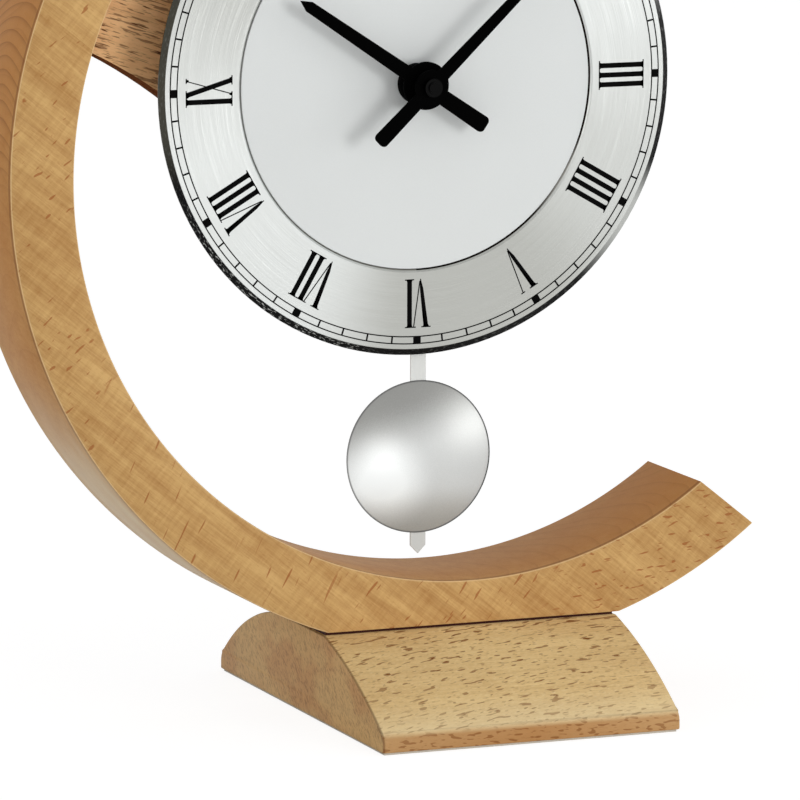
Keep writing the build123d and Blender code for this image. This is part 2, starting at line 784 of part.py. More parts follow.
# The pendulum
def rod_outline():
    """Flat rod with an eye at the pivot, a loop round the washer and a pointed tip."""
    tip = pivot_z - rod_length
    shoulder = tip + rod_point
    half = rod_width / 2
    loop_z = dial_z
    corners = [(-half, pivot_z), (-half, shoulder), (0, tip), (half, shoulder), (half, pivot_z)]
    strap = make_face(Polyline(*corners, close=True))
    loop = Pos(0, loop_z) * Circle(loop_radius + loop_width)
    outline = strap + loop + Pos(0, pivot_z) * Circle(rod_head_radius)
    outline = outline - Pos(0, loop_z) * Circle(loop_radius)
    return Pos(pendulum_x, 0) * (outline - Pos(0, pivot_z) * Circle(pin_radius + running_gap))


def build_pendulum():
    """Rod, drive magnet, and the bob's dome, back plate and clip."""
    save("pendulum_rod", slab(rod_outline(), rod_front, rod_back))
    magnet_z = pivot_z - magnet_drop
    magnet_back = rod_back + magnet_thickness
    save("drive_magnet", disc(pendulum_x, magnet_z, magnet_radius, rod_back, magnet_back))
    save("bob_front", build_bob_dome())
    plate_end = rod_back + bob_back_thickness
    save("bob_back", disc(pendulum_x, bob_z, bob_back_radius, rod_back, plate_end))
    clip = Pos(pendulum_x, bob_z) * Rectangle(clip_width, clip_height)
    save("bob_clip", slab(clip, plate_end, plate_end + clip_thickness))


def build_bob_dome():
    """Pressed dome, hollow behind, whose back edge lies on the rod's front."""
    dome_radius = (bob_radius ** 2 + bob_rise ** 2) / (2 * bob_rise)
    centre_y = rod_front - bob_rise + dome_radius
    outer = Pos(pendulum_x, centre_y, bob_z) * Sphere(dome_radius)
    inner = Pos(pendulum_x, centre_y, bob_z) * Sphere(dome_radius - bob_sheet)
    front_half = disc(pendulum_x, bob_z, bob_radius, rod_front - 2 * bob_rise, rod_front)
    hollow = disc(pendulum_x, bob_z, bob_radius, rod_front - 2 * bob_rise, rod_front - bob_sheet)
    shell = (outer & front_half) - (inner & hollow)
    return shell


def build_hanger():
    """Pin on the case that carries the pendulum, with a flat head."""
    pin = disc(pendulum_x, pivot_z, pin_radius, rod_front - flat_gap, case_inside)
    head_back = rod_front - flat_gap / 2
    head = disc(pendulum_x, pivot_z, pin_head_radius, head_back - pin_head_thickness, head_back)
    save("hanger_pin", pin + head)


os.makedirs("parts", exist_ok=True)
build_c()
build_foot()
build_arm()
build_dial()
build_dial_fixing()
build_case()
build_cover()
build_battery()
build_electronics()
build_motion_work()
build_train_plate()
build_hour_hand()
build_minute_hand()
build_pendulum()
build_hanger()
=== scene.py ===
import math

import bmesh
import bpy
from mathutils import Matrix, Vector


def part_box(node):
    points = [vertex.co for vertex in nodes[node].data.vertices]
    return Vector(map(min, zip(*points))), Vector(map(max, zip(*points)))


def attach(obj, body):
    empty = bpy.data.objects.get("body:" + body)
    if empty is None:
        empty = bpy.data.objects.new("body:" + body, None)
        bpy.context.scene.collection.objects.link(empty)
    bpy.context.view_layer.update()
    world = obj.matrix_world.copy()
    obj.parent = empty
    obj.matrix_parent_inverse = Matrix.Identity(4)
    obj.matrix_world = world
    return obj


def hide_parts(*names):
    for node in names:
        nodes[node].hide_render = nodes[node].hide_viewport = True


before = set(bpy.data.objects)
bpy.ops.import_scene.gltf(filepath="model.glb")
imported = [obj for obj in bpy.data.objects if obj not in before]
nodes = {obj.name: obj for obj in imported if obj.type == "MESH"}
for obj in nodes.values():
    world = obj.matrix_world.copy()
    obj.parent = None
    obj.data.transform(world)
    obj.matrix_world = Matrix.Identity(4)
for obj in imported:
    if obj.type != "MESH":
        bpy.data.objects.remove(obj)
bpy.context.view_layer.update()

mm = 0.001
bpy.ops.object.select_all(action="DESELECT")


# The camera stands to the left of the clock, a little above it and far away. The clock's
# upper third lies above the picture.
view_turn = math.radians(21.901)
view_dip = math.radians(9.203)
view_roll = math.radians(0.121)
view_distance = 1884.261 * mm
view_target = Vector((-13.746, 0, 85.079)) * mm
lens_length = 309.15
sensor_width = 36

towards_camera = Vector((
    -math.sin(view_turn) * math.cos(view_dip),
    -math.cos(view_turn) * math.cos(view_dip),
    math.sin(view_dip),
))
level_right = (-towards_camera).cross(Vector((0, 0, 1))).normalized()
level_up = towards_camera.cross(level_right)
picture_right = math.cos(view_roll) * level_right + math.sin(view_roll) * level_up
picture_up = math.cos(view_roll) * level_up - math.sin(view_roll) * level_right
camera_turn = Matrix((picture_right, picture_up, towards_camera)).transposed().to_4x4()
camera_place = Matrix.Translation(view_target + towards_camera * view_distance)
camera = bpy.data.objects.new("camera", bpy.data.cameras.new("camera"))
camera.data.lens = lens_length
camera.data.sensor_width = sensor_width
camera.matrix_world = camera_place @ camera_turn
bpy.context.scene.collection.objects.link(camera)
bpy.context.scene.camera = camera
bpy.context.scene.view_settings.view_transform = "Standard"


# The key light stands a little to the right, level with the dial. A card at the far right
# and one in front at the left give the metal its two soft lights.
lamp_aim = Vector((0, 0, 0.15))


def softbox(name, azimuth, height, distance, size, strength, in_gloss=True):
    """Area lamp that faces the clock; azimuth is in degrees to the right of straight ahead."""
    turn = math.radians(azimuth)
    lift = math.radians(height)
    outwards = Vector((
        math.sin(turn) * math.cos(lift),
        -math.cos(turn) * math.cos(lift),
        math.sin(lift),
    ))
    lamp = bpy.data.objects.new(name, bpy.data.lights.new(name, "AREA"))
    lamp.data.shape = "RECTANGLE"
    lamp.data.size, lamp.data.size_y = size
    lamp.data.energy = strength * math.pi * size[0] * size[1]
    lamp.matrix_world = outwards.to_track_quat("Z", "Y").to_matrix().to_4x4()
    lamp.location = lamp_aim + outwards * distance
    lamp.visible_glossy = in_gloss
    bpy.context.scene.collection.objects.link(lamp)


softbox("key", azimuth=22, height=4, distance=2.4, size=(0.8, 0.8), strength=8.8, in_gloss=False)
softbox("card_right", azimuth=58, height=4, distance=2.0, size=(1.2, 1.0), strength=2.1)
softbox("card_left", azimuth=-9, height=-1, distance=2.0, size=(0.7, 0.22), strength=5.0)
softbox("side_left", azimuth=-75, height=12, distance=2.4, size=(1.6, 1.6), strength=0.9)


# The room is even and white where it is seen or mirrored. It lights the clock more weakly,
# so that the lamps above give the wood its form.
room_light = 0.48
room = bpy.data.worlds.new("room")
bpy.context.scene.world = room
room.use_nodes = True
room_nodes = room.node_tree.nodes
room_links = room.node_tree.links
room_path = room_nodes.new("ShaderNodeLightPath")
shown = room_path.outputs["Is Camera Ray"]
for kind in ("Is Glossy Ray", "Is Transmission Ray"):
    either = room_nodes.new("ShaderNodeMath")
    either.operation = "MAXIMUM"
    room_links.new(shown, either.inputs[0])
    room_links.new(room_path.outputs[kind], either.inputs[1])
    shown = either.outputs[0]
room_strength = room_nodes.new("ShaderNodeMapRange")
room_strength.inputs["To Min"].default_value = room_light
background = room_nodes["Background"]
background.inputs["Color"].default_value = (1, 1, 1, 1)
room_links.new(shown, room_strength.inputs["Value"])
room_links.new(room_strength.outputs[0], background.inputs["Strength"])


# The floor is white card. Most of its white is its own, so that it meets the white room
# without a line and still takes the clock's shadow. Its finish, like the others, is made of
# sums of noise over the surface.
class Wire:
    """A number that changes over a surface: a socket that takes part in sums."""

    def __init__(self, finish, socket):
        self.finish = finish
        self.socket = socket

    def sum(self, operation, first, second):
        return self.finish.node("ShaderNodeMath", {0: first, 1: second}, operation=operation)

    def __add__(self, other):
        return self.sum("ADD", self, other)

    def __radd__(self, other):
        return self.sum("ADD", other, self)

    def __sub__(self, other):
        return self.sum("SUBTRACT", self, other)

    def __rsub__(self, other):
        return self.sum("SUBTRACT", other, self)

    def __mul__(self, other):
        return self.sum("MULTIPLY", self, other)

    def __truediv__(self, other):
        return self.sum("DIVIDE", self, other)

    def __pow__(self, other):
        return self.sum("POWER", self, other)

    def __mod__(self, other):
        return self.sum("FLOORED_MODULO", self, other)

    def __abs__(self):
        return self.sum("ABSOLUTE", self, 0.0)


def paint(red, green, blue):
    """A colour as it is seen, 0 to 255, as the shader's own values."""
    shares = [c / 255 for c in (red, green, blue)]
    linear = [c / 12.92 if c <= 0.04045 else ((c + 0.055) / 1.055) ** 2.4 for c in shares]
    return (*linear, 1.0)


class Finish:
    """A material, built round its surface shader."""

    def __init__(self, name, **constants):
        self.material = bpy.data.materials.new(name)
        self.material.use_nodes = True
        self.tree = self.material.node_tree
        self.surface = self.tree.nodes["Principled BSDF"]
        self.shade(**constants)

    def put(self, socket, value):
        """Link a wire to a socket, or set the socket to a value."""
        if isinstance(value, Wire):
            self.tree.links.new(value.socket, socket)
        else:
            socket.default_value = value

    def shade(self, **values):
        """Give wires or values to the surface shader, by the names of its sockets."""
        for name, value in values.items():
            self.put(self.surface.inputs[name.replace("_", " ")], value)

    def node(self, kind, sockets=None, out=0, **settings):
        """Add a node with its settings, then the values or wires of its sockets."""
        made = self.tree.nodes.new(kind)
        for name, value in settings.items():
            setattr(made, name, value)
        for place, value in (sockets or {}).items():
            self.put(made.inputs[place], value)
        return Wire(self, made.outputs[out])

    def places(self, turn=0.0, centre=(0, 0, 0)):
        """Three wires in millimetres: X and Z turned down by an angle, and Y between them."""
        where = self.node("ShaderNodeTexCoord", out="Object")
        centred = self.node("ShaderNodeVectorMath", {0: where, 1: centre}, operation="SUBTRACT")
        turned = self.node("ShaderNodeMapping", {
            "Vector": centred,
            "Rotation": (0, -math.radians(turn), 0),
            "Scale": (1 / mm, 1 / mm, 1 / mm),
        }, vector_type="POINT")
        split = self.node("ShaderNodeSeparateXYZ", {0: turned})
        return [Wire(self, socket) for socket in split.socket.node.outputs]

    def at(self, x, y, z):
        """One vector of three wires or values."""
        return self.node("ShaderNodeCombineXYZ", {0: x, 1: y, 2: z})

    def noise(self, place, wave=(1.0, 1.0, 1.0), detail=2.0):
        """Smooth random values about a half; wave is their length along each part of the place."""
        spread = [value / length for value, length in zip(place, wave)]
        return self.node("ShaderNodeTexNoise", {
            "Vector": self.at(*spread), "Scale": 1.0, "Detail": detail, "Roughness": 0.55,
        })

    def ramp(self, value, low, high, first=0.0, last=1.0):
        """A soft step from first to last as the value goes from low to high."""
        return self.node("ShaderNodeMapRange", {
            "Value": value, "From Min": low, "From Max": high, "To Min": first, "To Max": last,
        }, interpolation_type="SMOOTHSTEP")

    def fade(self, value, low, high):
        """A soft step from one down to nothing as the value goes from low to high."""
        return self.ramp(value, low, high, 1.0, 0.0)

    def window(self, value, rise, fall):
        """One between two soft steps, each given as where it starts and ends."""
        return self.ramp(value, *rise) * self.fade(value, *fall)

    def blend(self, first, second, share):
        """A colour between two colours."""
        return self.node("ShaderNodeMix", {0: share, 6: first, 7: second}, 2, data_type="RGBA")

    def relief(self, height, depth):
        """A surface raised by the height, whose full range is the depth in millimetres."""
        bump = {"Height": height, "Distance": depth * mm}
        self.shade(Normal=self.node("ShaderNodeBump", bump, "Normal"))


floor_size = 9.0
own_white_share = 0.7
own_white = 1.24
bpy.ops.mesh.primitive_plane_add(size=floor_size)
floor = bpy.context.object
floor.name = "floor"
card = Finish("floor_card", Roughness=0.9, Specular_IOR_Level=0.1)
fibre = card.noise(card.places(), (3.0, 3.0, 1.0))
card.shade(Base_Color=card.blend(paint(236, 236, 236), paint(244, 244, 244), fibre))
seen = card.node("ShaderNodeLightPath", out="Is Camera Ray")
mirrored = card.node("ShaderNodeLightPath", out="Is Glossy Ray")
glow = card.node("ShaderNodeEmission", {"Color": (1, 1, 1, 1), "Strength": own_white})
both = card.node("ShaderNodeMixShader", {
    0: (seen + mirrored) * own_white_share,
    1: Wire(card, card.surface.outputs[0]),
    2: glow,
})
card.put(card.tree.nodes["Material Output"].inputs["Surface"], both)
floor.data.materials.append(card.material)


# The wooden C is sawn from beech boards glued side by side along a slope of 38.8 degrees.
# Its front and back edges are eased with sandpaper, and the wood is oiled. The four planks
# of the frame are shown as one smooth ring, cut at the glue lines, at the seat and at the ends.
ring_inner = 114.3 * mm
ring_outer = 133.3 * mm
ring_shift = 1.2 * mm
ring_ease = 0.4 * mm
glue_slope = 38.8
glue_low = -40.5 * mm
glue_high = 51.5 * mm
end_corner = 53.0
ring_sides = 720
ring_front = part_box("c_middle_plank")[0].y
ring_depth = -2 * ring_front
seat_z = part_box("c_lower_plank")[0].z
foot_low, foot_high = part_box("foot_block")
ring_z = seat_z + math.sqrt(ring_outer ** 2 - foot_high.x ** 2)


def finish_piece(piece, name, body, slot, *stands_for):
    """Name a piece, put its place in its mesh, and hand it to the frame."""
    bpy.ops.object.mode_set(mode="OBJECT")
    piece.select_set(True)
    bpy.context.view_layer.objects.active = piece
    bpy.ops.object.transform_apply(location=True, rotation=True, scale=True)
    bpy.ops.object.select_all(action="DESELECT")
    piece.name = name
    piece.data.name = name
    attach(piece, body)
    if stands_for:
        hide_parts(*stands_for)


def apply_modifier(piece, kind, **settings):
    """Add a modifier to a piece and apply it."""
    bpy.context.view_layer.objects.active = piece
    modifier = piece.modifiers.new(kind.lower(), kind)
    for name, value in settings.items():
        setattr(modifier, name, value)
    bpy.ops.object.modifier_apply(modifier=modifier.name)


def smooth(piece, angle=30):
    """Round shading across all edges flatter than the angle."""
    bpy.ops.object.select_all(action="DESELECT")
    piece.select_set(True)
    bpy.context.view_layer.objects.active = piece
    bpy.ops.object.shade_smooth_by_angle(angle=math.radians(angle))
    piece.select_set(False)


def ring_blank():
    """The whole ring before it is cut: a circle drawn in to the inner one, and given depth."""
    bpy.ops.mesh.primitive_circle_add(
        vertices=ring_sides, radius=ring_outer,
        location=(ring_shift, ring_front, ring_z), rotation=(math.pi / 2, 0, 0),
    )
    ring = bpy.context.object
    bpy.ops.object.transform_apply(location=True, rotation=True)
    share = ring_inner / ring_outer
    middle = (ring_shift, ring_front, ring_z)
    bpy.ops.object.mode_set(mode="EDIT")
    bpy.ops.mesh.select_all(action="SELECT")
    bpy.ops.mesh.extrude_edges_move()
    bpy.ops.transform.resize(value=(share, 1, share), center_override=middle)
    bpy.ops.transform.translate(value=(-ring_shift, 0, 0))
    bpy.ops.mesh.select_all(action="SELECT")
    bpy.ops.mesh.extrude_region_move(TRANSFORM_OT_translate={"value": (0, ring_depth, 0)})
    bpy.ops.mesh.select_all(action="SELECT")
    bpy.ops.mesh.normals_make_consistent(inside=False)
    bpy.ops.object.mode_set(mode="OBJECT")
    apply_modifier(ring, "BEVEL", width=ring_ease, segments=2, limit_method="ANGLE")
    bpy.ops.object.select_all(action="DESELECT")
    return ring


def cut(piece, point, outwards):
    """Saw a piece along a plane and drop what lies outwards of it."""
    bpy.context.view_layer.objects.active = piece
    bpy.ops.object.mode_set(mode="EDIT")
    bpy.ops.mesh.select_all(action="SELECT")
    bpy.ops.mesh.bisect(plane_co=point, plane_no=outwards, use_fill=True, clear_outer=True)
    bpy.ops.object.mode_set(mode="OBJECT")


def ring_piece(blank, cuts):
    """A copy of the ring, sawn along a list of planes."""
    piece = blank.copy()
    piece.data = blank.data.copy()
    bpy.context.scene.collection.objects.link(piece)
    for point, outwards in cuts:
        cut(piece, point, outwards)
    smooth(piece)
    return piece


ring_centre = Vector((0, 0, ring_z))
glue_turn = math.radians(glue_slope)
across_glue = Vector((math.sin(glue_turn), 0, math.cos(glue_turn)))
across_end = Vector((across_glue.x, 0, -across_glue.z))
corner_turn = math.radians(end_corner)
corner = Vector((math.cos(corner_turn), 0, math.sin(corner_turn))) * ring_inner
lower_corner = ring_centre + Vector((corner.x, 0, -corner.z))
upper_corner = ring_centre + corner
low_glue = ring_centre + across_glue * glue_low
high_glue = ring_centre + across_glue * glue_high
seat = (Vector((0, 0, seat_z)), Vector((0, 0, -1)))

blank_ring = ring_blank()
plank_cuts = {
    "c_lower_plank": [seat, (low_glue, across_glue)],
    "c_middle_plank": [
        (low_glue, -across_glue), (high_glue, across_glue), (ring_centre, Vector((1, 0, 0))),
    ],
    "c_lower_tip": [
        (low_glue, -across_glue), (lower_corner, across_glue), (ring_centre, Vector((-1, 0, 0))),
    ],
    "c_upper_plank": [(high_glue, -across_glue), (upper_corner, across_end)],
}


def flecks(wood, place, wave, level, edge=0.05):
    """Irregular dark flecks where a stretched noise passes a level."""
    return wood.ramp(wood.noise(place, wave, 1.0), level, level + edge)


def facing(wood, direction):
    """How squarely the surface faces along a direction, forwards or backwards, 0 to 1."""
    pair = {0: wood.node("ShaderNodeNewGeometry", out="Normal"), 1: direction}
    return abs(wood.node("ShaderNodeVectorMath", pair, "Value", operation="DOT_PRODUCT"))


def beech(name, slope, light, dark, end_grain, late, bow_at=-8.0, seed=0.0, end_share=0.8,
          ring_gap=5.5, ring_share=0.10, end_rings=0.45, crossing=0.8, bands=1.25, specular=0.12):
    """Oiled beech whose grain falls to the right by an angle, returned with its wires."""
    wood = Finish(name, Specular_IOR_Level=specular, Roughness=0.55)
    along, depth, across = wood.places(slope)
    along = along + seed
    grain = (along, depth, across)
    # Each layer of tone has its waves along, into and across the grain, its detail and share
    layers = (
        ((40.0, 18.0, 10.0), 2.0, 0.9),
        ((9.0, 0.7, 0.45), 3.0, 1.1),
        ((1.1, 4.0, 8.0), 2.0, crossing),
        ((26.0, 5.0, 2.8), 2.0, bands),
    )
    darkness = 0.5
    for wave, detail, share in layers:
        darkness = darkness + (wood.noise(grain, wave, detail) - 0.5) * share
    # Growth rings lie in nested bows, cut as straight bands on the front, and show at the ends
    bow = (depth - bow_at) * (depth - bow_at) * 0.022
    wander = (wood.noise(grain, (45.0, 30.0, 16.0), 1.0) - 0.5) * 9.0
    growth = (across + bow + wander) / ring_gap
    uneven = (wood.noise((growth, seed, 0.0), (2.3, 1.0, 1.0), 1.0) - 0.5) * 1.4
    late_line = ((growth + uneven) % 1.0) ** 7.0
    fall = math.radians(slope)
    end = facing(wood, (math.cos(fall), 0, -math.sin(fall)))
    end = end * end * end_share
    colour = wood.blend(light, dark, darkness)
    colour = wood.blend(colour, end_grain, end)
    colour = wood.blend(colour, late, late_line * (ring_share + end * end_rings))
    return wood, grain, colour


def oil(wood, colour, marks, fleck, grain, mark_share=0.8):
    """Lay the dark marks and the fine pores over a wood colour, and sink them a little."""
    pore = flecks(wood, grain, (1.6, 0.28, 0.28), 0.60, 0.14)
    colour = wood.blend(colour, fleck, pore * 0.20)
    colour = wood.blend(colour, fleck, marks * mark_share)
    wood.shade(Base_Color=colour)
    wood.relief(1.0 - marks * 0.7 - pore * 0.4, 0.05)
    return wood.material


beech_light = paint(213, 173, 113)
beech_dark = paint(178, 133, 79)
beech_end = paint(198, 138, 74)
beech_late = paint(116, 60, 28)
beech_fleck = paint(156, 88, 44)
beech_edge_highlight = paint(238, 208, 158)
beech_side = paint(200, 130, 64)
beech_bounce_light = paint(236, 222, 192)
beech_arc = paint(122, 62, 26)
edge_line_brown = paint(104, 56, 30)
arc_gap = 4.2

# The rays turn along the C: each stretch of it, from left to right, has its own
ray_depth = 6.0
stretch_overlap = 8.0
stretches = (
    {"start": -200.0, "end": -105.0, "slope": 38, "length": 5.0, "width": 1.5, "level": 0.66},
    {"start": -105.0, "end": -38.0, "slope": 64, "length": 12.0, "width": 1.4, "level": 0.66},
    {"start": -38.0, "end": 24.0, "slope": 50, "length": 7.0, "width": 1.2, "level": 0.65},
    {"start": 24.0, "end": 200.0, "slope": 8, "length": 4.0, "width": 1.1, "level": 0.63},
)


def rays(wood, x, seed, start, end, slope, length, width, level):
    """Dark rays between two places along X, that rise to the right by a slope in degrees."""
    along, depth, across = wood.places(-slope)
    rise = (start - stretch_overlap, start + stretch_overlap)
    fall = (end - stretch_overlap, end + stretch_overlap)
    marks = flecks(wood, (along + seed, depth, across), (length, ray_depth, width), level)
    return marks * wood.window(x, rise, fall)


def ring_wood(name, seed):
    """Beech of one plank of the C, with its rays, its edges with a painted highlight, and its sawn
    outside with painted light low on the left.
    """
    wood, grain, colour = beech(
        name, glue_slope, beech_light, beech_dark, beech_end, beech_late,
        seed=seed, end_rings=0.25,
    )
    x, y, height = wood.places()
    marks = 0.0
    for stretch in stretches:
        marks = rays(wood, x, seed, **stretch) + marks
    to_front = facing(wood, (0, 1, 0))
    side = wood.fade(to_front, 0.1, 0.3)
    colour = wood.blend(colour, beech_side, side * 0.45)
    # The eased front edges carry a painted highlight, lighter than the wood
    eased_edge_highlight = wood.window(to_front, (0.25, 0.5), (0.93, 0.99))
    colour = wood.blend(colour, beech_edge_highlight, eased_edge_highlight * 0.8)
    # A thin darker line lies on the sides just behind the eased front edges
    behind = y - ring_front / mm
    dark_edge_line = wood.window(behind, (0.35, 0.6), (1.3, 2.0)) * side
    colour = wood.blend(colour, edge_line_brown, dark_edge_line * 0.75)
    # Painted light lies in clouds on the outside of the C, low on the left, as if from the white
    # floor
    above = height - ring_z / mm
    outside = wood.ramp((x * x + above * above) ** 0.5, 122.0, 126.0) * side
    painted_floor_bounce = wood.fade(height, 60.0, 104.0) * outside * wood.fade(x, -40.0, 0.0)
    cloudy = (wood.noise((x, y, height), (20.0, 12.0, 20.0)) - 0.5) * 0.6
    colour = wood.blend(colour, beech_bounce_light, painted_floor_bounce * (0.66 + cloudy))
    # Above, the growth rings come out in arcs where the saw has cut across them
    drift = wood.noise((height, behind, 9.0), (34.0, 30.0, 1.0), 0.0) * 14.0
    arc = (height + behind * behind * 0.02 - behind * 0.3 + drift) / arc_gap % 1.0
    arc = (arc ** 5.0) * outside * wood.ramp(height, 146.0, 160.0)
    colour = wood.blend(colour, beech_arc, arc * 0.48)
    return oil(wood, colour, marks * wood.ramp(to_front, 0.9, 0.99), beech_fleck, grain, 0.72)


plank_seed = 37.0
for number, (name, cuts) in enumerate(plank_cuts.items()):
    plank = ring_piece(blank_ring, cuts)
    plank.data.materials.append(ring_wood("beech_" + name, plank_seed * number))
    finish_piece(plank, name + "_wood", "stand", "beech", name)
bpy.data.objects.remove(blank_ring)


# The foot is one beech block, as deep at the top as the C and rounded down to a low edge at
# the front and the back. Its grain runs from left to right. The C stands on it on a thin
# dark strip, held by two dowels and two screws from below.
foot_edge = 4.2 * mm
foot_front_crown = 138.0 * mm
foot_back_crown = 80.0 * mm
foot_ease = 0.5 * mm
shoulder_ease = 1.8 * mm
crown_steps = 28
shoulder_z = foot_low.z + foot_edge


def pick(piece, kind, wanted):
    """In edit mode, select only the vertices, edges or faces that pass a test."""
    bpy.ops.mesh.select_mode(type=kind)
    bpy.ops.mesh.select_all(action="DESELECT")
    mesh = bmesh.from_edit_mesh(piece.data)
    for part in {"VERT": mesh.verts, "EDGE": mesh.edges, "FACE": mesh.faces}[kind]:
        if wanted(part):
            part.select_set(True)
    mesh.select_flush_mode()
    bmesh.update_edit_mesh(piece.data)


def single_point(place):
    """A new piece of one vertex, left in edit mode with its vertex selected."""
    bpy.ops.mesh.primitive_plane_add(size=mm)
    piece = bpy.context.object
    bpy.ops.object.mode_set(mode="EDIT")
    bpy.ops.mesh.select_mode(type="VERT")
    bpy.ops.mesh.select_all(action="SELECT")
    bpy.ops.mesh.merge(type="CENTER")
    bpy.ops.transform.translate(value=place)
    return piece


def near(value, wanted, slack=0.02 * mm):
    """Whether a value is the wanted one, but for rounding."""
    return abs(value - wanted) < slack


def foot_flank(side, radius):
    """Half of the foot's outline: up its low edge and over the crown. The back is side 1."""
    shoulder = Vector((foot_low.x, side * foot_high.y, shoulder_z))
    crest = Vector((foot_low.x, side * ring_depth / 2, foot_high.z))
    chord = crest - shoulder
    half_turn = math.asin(chord.length / 2 / radius)
    sideways = Vector((0, -chord.z, chord.y)).normalized() * side
    centre = (shoulder + crest) / 2 + sideways * radius * math.cos(half_turn)
    flank = single_point(shoulder)
    bpy.ops.mesh.spin(steps=crown_steps, angle=2 * half_turn, center=centre, axis=(-side, 0, 0))
    pick(flank, "VERT", lambda v: near(v.co.y, shoulder.y) and near(v.co.z, shoulder.z))
    bpy.ops.mesh.extrude_region_move(TRANSFORM_OT_translate={"value": (0, 0, -foot_edge)})
    bpy.ops.object.mode_set(mode="OBJECT")
    return flank


def join(pieces):
    """Make one piece of several."""
    bpy.ops.object.select_all(action="DESELECT")
    for piece in pieces:
        piece.select_set(True)
    bpy.context.view_layer.objects.active = pieces[0]
    bpy.ops.object.join()
    joined = bpy.context.object
    bpy.ops.object.select_all(action="DESELECT")
    return joined


foot = join([foot_flank(-1, foot_front_crown), foot_flank(1, foot_back_crown)])
bpy.ops.object.mode_set(mode="EDIT")
for level in (foot_low.z, foot_high.z):
    pick(foot, "VERT", lambda v: near(v.co.z, level))
    bpy.ops.mesh.edge_face_add()
bpy.ops.mesh.select_all(action="SELECT")
bpy.ops.mesh.edge_face_add()
to_right_end = (foot_high.x - foot_low.x, 0, 0)
bpy.ops.mesh.extrude_region_move(TRANSFORM_OT_translate={"value": to_right_end})
bpy.ops.mesh.select_all(action="SELECT")
bpy.ops.mesh.normals_make_consistent(inside=False)
pick(foot, "EDGE", lambda e: all(near(v.co.z, shoulder_z) for v in e.verts))
bpy.ops.mesh.bevel(offset=shoulder_ease, segments=6, affect="EDGES")
bpy.ops.object.mode_set(mode="OBJECT")
apply_modifier(
    foot, "BEVEL", width=foot_ease, segments=2, limit_method="ANGLE",
    angle_limit=math.radians(40), use_clamp_overlap=False,
)
smooth(foot, 35)

foot_light = paint(245, 214, 153)
foot_dark = paint(216, 180, 122)
foot_end = paint(210, 172, 118)
foot_pore = paint(128, 74, 30)
foot_ridge = paint(250, 226, 176)
foot_red = paint(176, 108, 66)
foot_end_fleck = paint(104, 64, 40)
foot_pale = paint(244, 224, 180)
foot_edge_brown = paint(176, 122, 68)
foot_corner_brown = paint(88, 54, 30)
shoulder_height = shoulder_z / mm
left_end = foot_low.x / mm

wood, grain, colour = beech(
    "beech_foot", 0.0, foot_light, foot_dark, foot_end, foot_pore, bow_at=40.0, seed=11.0,
    end_share=0.9, ring_gap=7.0, ring_share=0.03, end_rings=0.08, crossing=0.2, bands=0.7,
)
along, depth, across = grain
x, y, height = wood.places()
end = facing(wood, (1, 0, 0))
flank = 1.0 - end
# The dark lines run in bowed rows, measured up the slope of the flanks
flank_fall = math.atan2(foot_high.z - shoulder_z, foot_high.y - ring_depth / 2)
up_flank = across * math.sin(flank_fall) - abs(depth) * math.cos(flank_fall)
off_flank = across * math.cos(flank_fall) + abs(depth) * math.sin(flank_fall)
row = up_flank - along * 0.2 + along * along * 0.0013
lines = flecks(wood, (along, off_flank, row), (4.8, 8.0, 1.2), 0.625, 0.02)
lines = lines + flecks(wood, (along, off_flank, row + 36.0), (2.6, 8.0, 0.9), 0.615) * 0.5
low_lines_fewer = wood.ramp(height, 3.0, 22.0, 0.55, 1.0)
above_edge = wood.ramp(height, shoulder_height - 0.4, shoulder_height + 1.2)
lines = lines * low_lines_fewer * flank * above_edge
ridge = wood.ramp(wood.noise((along, off_flank, row), (1.6, 4.0, 0.45)), 0.48, 0.70)
colour = wood.blend(colour, foot_ridge, ridge * 0.35 * flank)
# The ends are redder in places and full of small open pores
red_end = wood.ramp(wood.noise((depth, 5.0, across), (26.0, 1.0, 16.0)), 0.42, 0.62)
colour = wood.blend(colour, foot_red, red_end * end * 0.35)
end_pore = wood.noise((depth + across, along, depth - across), (2.2, 1.0, 0.6), 3.0)
colour = wood.blend(colour, foot_end_fleck, wood.ramp(end_pore, 0.46, 0.68) * end * 0.45)
# The flanks are pale above the low edge, which is browner and has lines of its own
pale = wood.fade(height, shoulder_height + 0.4, shoulder_height + 8.2) * flank
colour = wood.blend(colour, foot_pale, pale * 0.5)
low_edge = wood.fade(height, shoulder_height - 0.6, shoulder_height + 1.2) * flank
colour = wood.blend(colour, foot_edge_brown, low_edge * 0.9)
edge_row = height + along / 16.0
lines = lines + flecks(wood, (along, 3.0, edge_row), (3.4, 1.0, 1.0), 0.57) * low_edge * 0.8
corner_line = wood.fade(x, left_end + 0.4, left_end + 0.9) * wood.fade(end, 0.9, 0.98)
colour = wood.blend(colour, foot_corner_brown, corner_line * 0.6)
foot.data.materials.append(oil(wood, colour, lines, foot_pore, grain, 0.82))
finish_piece(foot, "foot_block_wood", "stand", "beech", "foot_block")


# Under the C lies a strip of dark veneer, felt under the foot keeps the desk from scratches,
# and dowels of plain beech hold the C to the foot and the arm to the C.
def dress(material, *names):
    """Give CAD nodes a material."""
    for name in names:
        piece = nodes[name]
        if not piece.material_slots:
            piece.data.materials.append(material)
        for slot in piece.material_slots:
            slot.material = material


def two_tone(name, deep, pale, wave, detail=2.0, raised=0.0, **constants):
    """A material whose colour wavers between two tones, with its grain raised if wanted."""
    made = Finish(name, **constants)
    grain = made.noise(made.places(), wave, detail)
    made.shade(Base_Color=made.blend(deep, pale, grain))
    if raised:
        made.relief(grain, raised)
    return made.material


